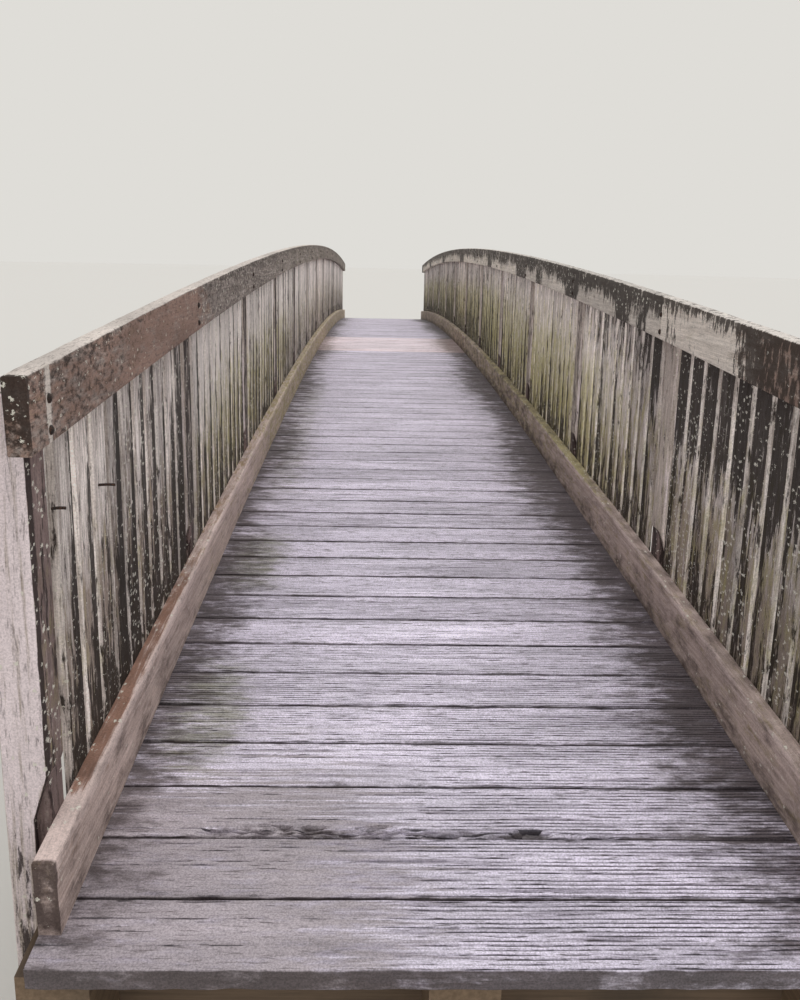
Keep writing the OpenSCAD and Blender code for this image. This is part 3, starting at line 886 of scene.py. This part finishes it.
def pale(side, bay_number, place, rng):
    """One pale as a loft from its foot to its top."""
    middle = pale_y(bay_number, place)
    lean = math.radians(rng.normal(0, 0.12))
    bow = rng.uniform(0, 0.0022)
    out = bow * np.sin(np.pi * (pale_rise - pale_low) / (pale_high - pale_low)) + rng.uniform(0, 0.0008)
    trim = np.where((pale_rise == pale_low) | (pale_rise == pale_high), 0.0015, 0.0)
    x = PLANK_X + pale_depth + out + trim * np.where(pale_depth < PALE_T / 2, 1, -1)
    y = middle + pale_across * (1 - trim / PALE_HALF) + (pale_rise - 0.6) * math.tan(lean)
    z = np.broadcast_to(deck_z(middle) + pale_rise, y.shape)
    # Painted shade on the pales next to a post, standing in for the shaded gap and post side beside them
    shade_by_post = (0.30 if side < 0 else 0.12) * (place == PALE_COUNT - 1) + 0.15 * (place == 0) * (bay_number > 0)
    return length_of_timber(
        np.stack([side * x, y, z], axis=-1), **pale_paint(side, middle + HALF_Y, shade_by_post, rng))


for name, side in SIDES.items():
    for bay_number in range(BAY_COUNT):
        rng = np.random.default_rng(200 + 20 * bay_number + side)
        node = f"{name}_pales_{bay_number + 1:02d}"
        make_piece("sawn_" + node, [pale(side, bay_number, place, rng) for place in range(PALE_COUNT)],
                   sawn_pale, [node])

# %% [markdown]
# ## Beams, blocking, sills and splice plates
# Their CAD shapes are right, so they stay and only get a finish. The beams are laminated from planks 90 mm deep,
# glued on one another along the arc. So the material measures how far a place is from the arc's centre, and draws a
# thin dark line where two planks meet. The blocking is plain sawn timber, and the sills are damp hardwood.

# %% Glue lines
LAMINATION, GLUE_LINE, GLUE = 0.090, 0.0016, "#3a2e25"


def glue_lines(tree, place):
    """How strongly a glue line shows at a place: its depth under the boards, folded to half a plank."""
    from_centre = add(tree, "VectorMath", {0: place, 1: (0.0, 0.0, CENTRE_Z)}, operation="SUBTRACT").outputs[0]
    flat = add(tree, "VectorMath", {0: from_centre, 1: (0.0, 1.0, 1.0)}, operation="MULTIPLY").outputs[0]
    radius = add(tree, "VectorMath", {0: flat}, operation="LENGTH").outputs["Value"]
    depth = add(tree, "Math", {0: ARCH_RADIUS - BOARD_T, 1: radius}, operation="SUBTRACT").outputs[0]
    folded = add(tree, "Math", {0: depth, 1: LAMINATION / 2}, operation="PINGPONG").outputs[0]
    return add(tree, "MapRange", {
        "Value": folded, "From Min": 0.0, "From Max": GLUE_LINE, "To Min": 0.7, "To Max": 0.0}).outputs[0]


print("glue lines every", LAMINATION, "m")


# %% Plain timber
PLAIN_STREAK_MM, DAMP_MM, SAWN_RELIEF = 14, 1000 / 2.2, 0.0008


def plain_timber(name, grain, light, dark, damp, laminated=False):
    """Timber for a part that carries no painted layers: grain, damp clouds, and glue lines if it is laminated."""
    material, tree, shader = new_material(name)
    place = add(tree, "TexCoord").outputs["Object"]
    along = add(tree, "VectorMath", {0: place, 1: grain}, operation="MULTIPLY").outputs[0]
    streaks = add(tree, "TexNoise", {
        "Vector": along, "Scale": 1000 / PLAIN_STREAK_MM, "Detail": 6.0, "Roughness": 0.65}).outputs["Fac"]
    clouds = add(tree, "TexNoise", {
        "Vector": place, "Scale": 1000 / DAMP_MM, "Detail": 5.0, "Roughness": 0.6}).outputs["Fac"]
    colour, relief = blend(tree, streaks, 0.35, 0.65, dark, light), streaks
    if laminated:
        glue = glue_lines(tree, place)
        colour = add(tree, "Mix", {MIX_FACTOR: glue, MIX_UNDER: colour, MIX_OVER: linear(GLUE)},
                     data_type="RGBA").outputs[MIX_COLOUR]
        relief = add(tree, "Math", {0: glue, 1: -0.8, 2: streaks}, operation="MULTIPLY_ADD").outputs[0]
    colour = blend(tree, clouds, 0.42, 0.68, colour, damp, 0.6, "SMOOTHSTEP")
    tree.links.new(colour, shader.inputs["Base Color"])
    shader.inputs["Roughness"].default_value = 0.75
    bump = add(tree, "Bump", {"Height": relief, "Distance": SAWN_RELIEF, "Strength": 0.7}).outputs["Normal"]
    tree.links.new(bump, shader.inputs["Normal"])
    return material


def dress(material, *nodes):
    """Gives CAD nodes that keep their shape a finish."""
    for node in nodes:
        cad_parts[node].data.materials.clear()
        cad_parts[node].data.materials.append(material)
    print("dressed", *nodes, "in", material.name)


# Planed and glued softwood in the dry: the warmest brown here, with its laminations drawn
glulam = plain_timber("glued_laminated_timber", ALONG, "#86705a", "#6b5844", "#4a3f33", laminated=True)
# Rough sawn softwood: duller and greyer than the beams
sawn_blocking = plain_timber("sawn_blocking_timber", ACROSS, "#7a6653", "#5d4d3e", "#40372e")
# Sawn hardwood that never dries: dark, with green in its damp clouds
damp_sill = plain_timber("damp_hardwood_sill", ACROSS, "#6b5e54", "#4f453d", "#373a2a")
dress(glulam, "left_beam", "centre_beam", "right_beam")
dress(sawn_blocking, "beam_blocking")
dress(damp_sill, "near_sill", "far_sill")

# %% [markdown]
# Dull galvanised steel is zinc over steel: grey, with a spangle of crystals about 15 mm across whose brightness
# differs a little, and a white bloom where it stays damp.

# %% Galvanised steel
SPANGLE_MM, BLOOM_MM = 15, 1000 / 6
galvanised, tree, shader = new_material("dull_galvanised_steel")
place = add(tree, "TexCoord").outputs["Object"]
spangle = add(tree, "TexVoronoi", {"Vector": place, "Scale": 1000 / SPANGLE_MM}).outputs["Color"]
tone = add(tree, "SeparateColor", {"Color": spangle}).outputs["Red"]
zinc = add(tree, "Mix", {MIX_FACTOR: tone, MIX_UNDER: linear("#7c8084"), MIX_OVER: linear("#94989a")},
           data_type="RGBA").outputs[MIX_COLOUR]
bloom_at = add(tree, "TexNoise", {
    "Vector": place, "Scale": 1000 / BLOOM_MM, "Detail": 6.0, "Roughness": 0.7}).outputs["Fac"]
zinc = blend(tree, bloom_at, 0.52, 0.7, zinc, "#b5b4ae", 0.5)
tree.links.new(zinc, shader.inputs["Base Color"])
shader.inputs["Metallic"].default_value = 0.6
roughness_at = add(tree, "MapRange", {"Value": tone, "To Min": 0.42, "To Max": 0.6}).outputs[0]
tree.links.new(roughness_at, shader.inputs["Roughness"])
dress(galvanised, "beam_splices")

# %% [markdown]
# ## Fixings
# Coach bolts hold the rails to the posts, and hexagon bolts hold the splice plates. Nails hold the pales from
# outside, and two long ones stick out, bent, on the left. A head is turned about its axis from a profile of radius
# and height, like the lofts above, and a bent nail is a thin tube along a bend. Their plain steel has rusted black,
# with brown specks of some 5 mm, and is hardly metallic any more.

# %% Rusted steel
RUST_MM = 1000 / 220
rusted, tree, shader = new_material("rust_blackened_steel")
place = add(tree, "TexCoord").outputs["Object"]
rust_at = add(tree, "TexNoise", {
    "Vector": place, "Scale": 1000 / RUST_MM, "Detail": 5.0, "Roughness": 0.7}).outputs["Fac"]
rust_colour = blend(tree, rust_at, 0.48, 0.60, "#26211f", "#563a2c")
tree.links.new(rust_colour, shader.inputs["Base Color"])
shader.inputs["Metallic"].default_value = 0.3
shader.inputs["Roughness"].default_value = 0.7
print(rusted.name, "with specks of", RUST_MM, "mm")

# %% Turned heads
# Rows of radius and height above the face, in millimetres
COACH_BOLT = ((11, -1), (11, 1.5), (9.5, 4), (7, 5.8), (4, 6.8), (1, 7.1))
HEXAGON_BOLT = ((17, -1), (17, 11.5), (15.5, 12.5))
NAIL_HEAD = ((4.5, -1), (4.5, 1.8), (3.2, 2.4))
NAIL_RADIUS, NAIL_DROOP = 0.0038, 0.005


def turned_head(centre, outward, profile, sides=14):
    """A head on a face, turned from a profile."""
    axis = Vector(outward).normalized()
    first = np.array(axis.orthogonal().normalized())
    second = np.cross(np.array(axis), first)
    turn = np.linspace(0, 2 * math.pi, sides, endpoint=False)[:, None]
    circle = np.cos(turn) * first + np.sin(turn) * second
    rings = [np.array(centre) + np.array(axis) * height / 1000 + circle * radius / 1000 for radius, height in profile]
    return length_of_timber(rings)


def bent_nail(start, tip):
    """A long nail that sticks out level and sags towards its tip."""
    along = np.linspace(0, 1, 7)[:, None]
    path = np.array(start) + along * (np.array(tip) - np.array(start)) - np.square(along) * np.array((0, 0, NAIL_DROOP))
    turn = np.linspace(0, 2 * math.pi, 8, endpoint=False)[:, None]
    circle = NAIL_RADIUS * (np.cos(turn) * np.array((0, 1, 0)) + np.sin(turn) * np.array((0, 0, 1)))
    return length_of_timber(path[:, None, :] + circle[None, :, :])


print("a coach bolt's head is", 2 * COACH_BOLT[0][0], "mm across")

# %% Bolts and nails
# How far up the rail its bolts are and how far back the first ones, how far up a pale its nails are and how far they
# stray from its middle, and for each bent nail how far along it is, how far up and how far it sticks out
BOLT_RISES, FIRST_BOLT_BACK = (1.170, 1.103), 0.035
NAIL_RISES, NAIL_STRAY = (0.055, 0.130, 1.110, 1.190), 0.03
BENT_NAILS = ((0.39, 0.890, 0.030), (0.77, 0.835, 0.045))
rng = np.random.default_rng(77)
bolts, nails = [], []
for side in SIDES.values():
    for number in range(BAY_COUNT + 1):
        for rise in BOLT_RISES:
            bolt_y = post_y(number) - FIRST_BOLT_BACK * (number == 0)
            y, z = on_arch(math.asin(bolt_y / (ARCH_RADIUS + rise)), rise)
            bolts.append(turned_head((side * WALK_X, y, z), (-side, 0, 0), COACH_BOLT))
    for bay_number in range(BAY_COUNT):
        for place in range(PALE_COUNT):
            for rise in NAIL_RISES:
                y = pale_y(bay_number, place) + rng.uniform(-NAIL_STRAY, NAIL_STRAY)
                nails.append(turned_head((side * (PLANK_X + PALE_T), y, deck_z(y) + rise), (side, 0, 0), NAIL_HEAD, 8))
for run, rise, out in BENT_NAILS:
    foot = np.array((-PLANK_X - 0.004, run - HALF_Y, deck_z(run - HALF_Y) + rise))
    nails.append(bent_nail(foot, foot + np.array((out, 0.012, 0.004))))
make_piece("rusted_rail_bolts", bolts, rusted, [])
make_piece("rusted_pale_nails", nails, rusted, [])

# %% Bolts of the splice plates
BEAM_W, BEAM_D, SPLICE_T = 0.160, 0.600, 0.010
SPLICE_ALONG, SPLICE_UP = (-0.34, -0.14, 0.14, 0.34), (-0.12, 0.12)
beam_x = DECK_X - BEAM_W / 2
splice_bolts = []
for side_y in (-1, 1):
    angle = math.asin(side_y * post_y(3.5) / ARCH_RADIUS)
    for x in (-beam_x, 0.0, beam_x):
        for outward in (-1, 1):
            face = x + outward * (BEAM_W / 2 + SPLICE_T)
            for along in SPLICE_ALONG:
                for up in SPLICE_UP:
                    y, z = on_arch(angle + along / ARCH_RADIUS, -BOARD_T - BEAM_D / 2 + up)
                    splice_bolts.append(turned_head((face, y, z), (outward, 0, 0), HEXAGON_BOLT, 6))
make_piece("galvanised_splice_bolts", splice_bolts, galvanised, [])

# %% [markdown]
# ## Floor and light
# A plain pale floor keeps the bridge's shadow. The world gives an even light at a strength where a colour renders
# about as written, and a very wide sun adds a soft direction from above. The camera and gloss see a pale backdrop.

# %% Floor
FLOOR_RADIUS = 150.0
bpy.ops.mesh.primitive_circle_add(vertices=96, radius=FLOOR_RADIUS, fill_type="NGON", location=(0, 0, 0))
floor = bpy.context.object
floor.name = "studio_floor"
floor_material, tree, shader = new_material("matte_pale_floor")
shader.inputs["Base Color"].default_value = linear("#cfcdc8")
shader.inputs["Roughness"].default_value = 0.95
floor.data.materials.append(floor_material)
print("floor of", FLOOR_RADIUS, "m radius")

# %% World and sun
world = bpy.data.worlds.new("studio")
bpy.context.scene.world = world
world.use_nodes = True
tree = world.node_tree
background = tree.nodes["Background"]
path = add(tree, "LightPath").outputs
seen = add(tree, "Math", {0: path["Is Camera Ray"], 1: path["Is Glossy Ray"]}, operation="MAXIMUM").outputs[0]
backdrop = add(tree, "Mix", {MIX_FACTOR: seen, MIX_UNDER: linear("#e8e7e6"), MIX_OVER: linear("#dfddd8")},
               data_type="RGBA").outputs[MIX_COLOUR]
tree.links.new(backdrop, background.inputs["Color"])
background.inputs["Strength"].default_value = 1.0
sun_data = bpy.data.lights.new("soft_sky", "SUN")
sun_data.energy = 1.1
sun_data.angle = math.radians(70)
sun = bpy.data.objects.new("soft_sky", sun_data)
sun.rotation_euler = (math.radians(-22), math.radians(14), 0)
bpy.context.scene.collection.objects.link(sun)
bpy.context.scene.view_settings.view_transform = "Standard"
print("sun of", sun_data.energy, "and world of", background.inputs["Strength"].default_value)
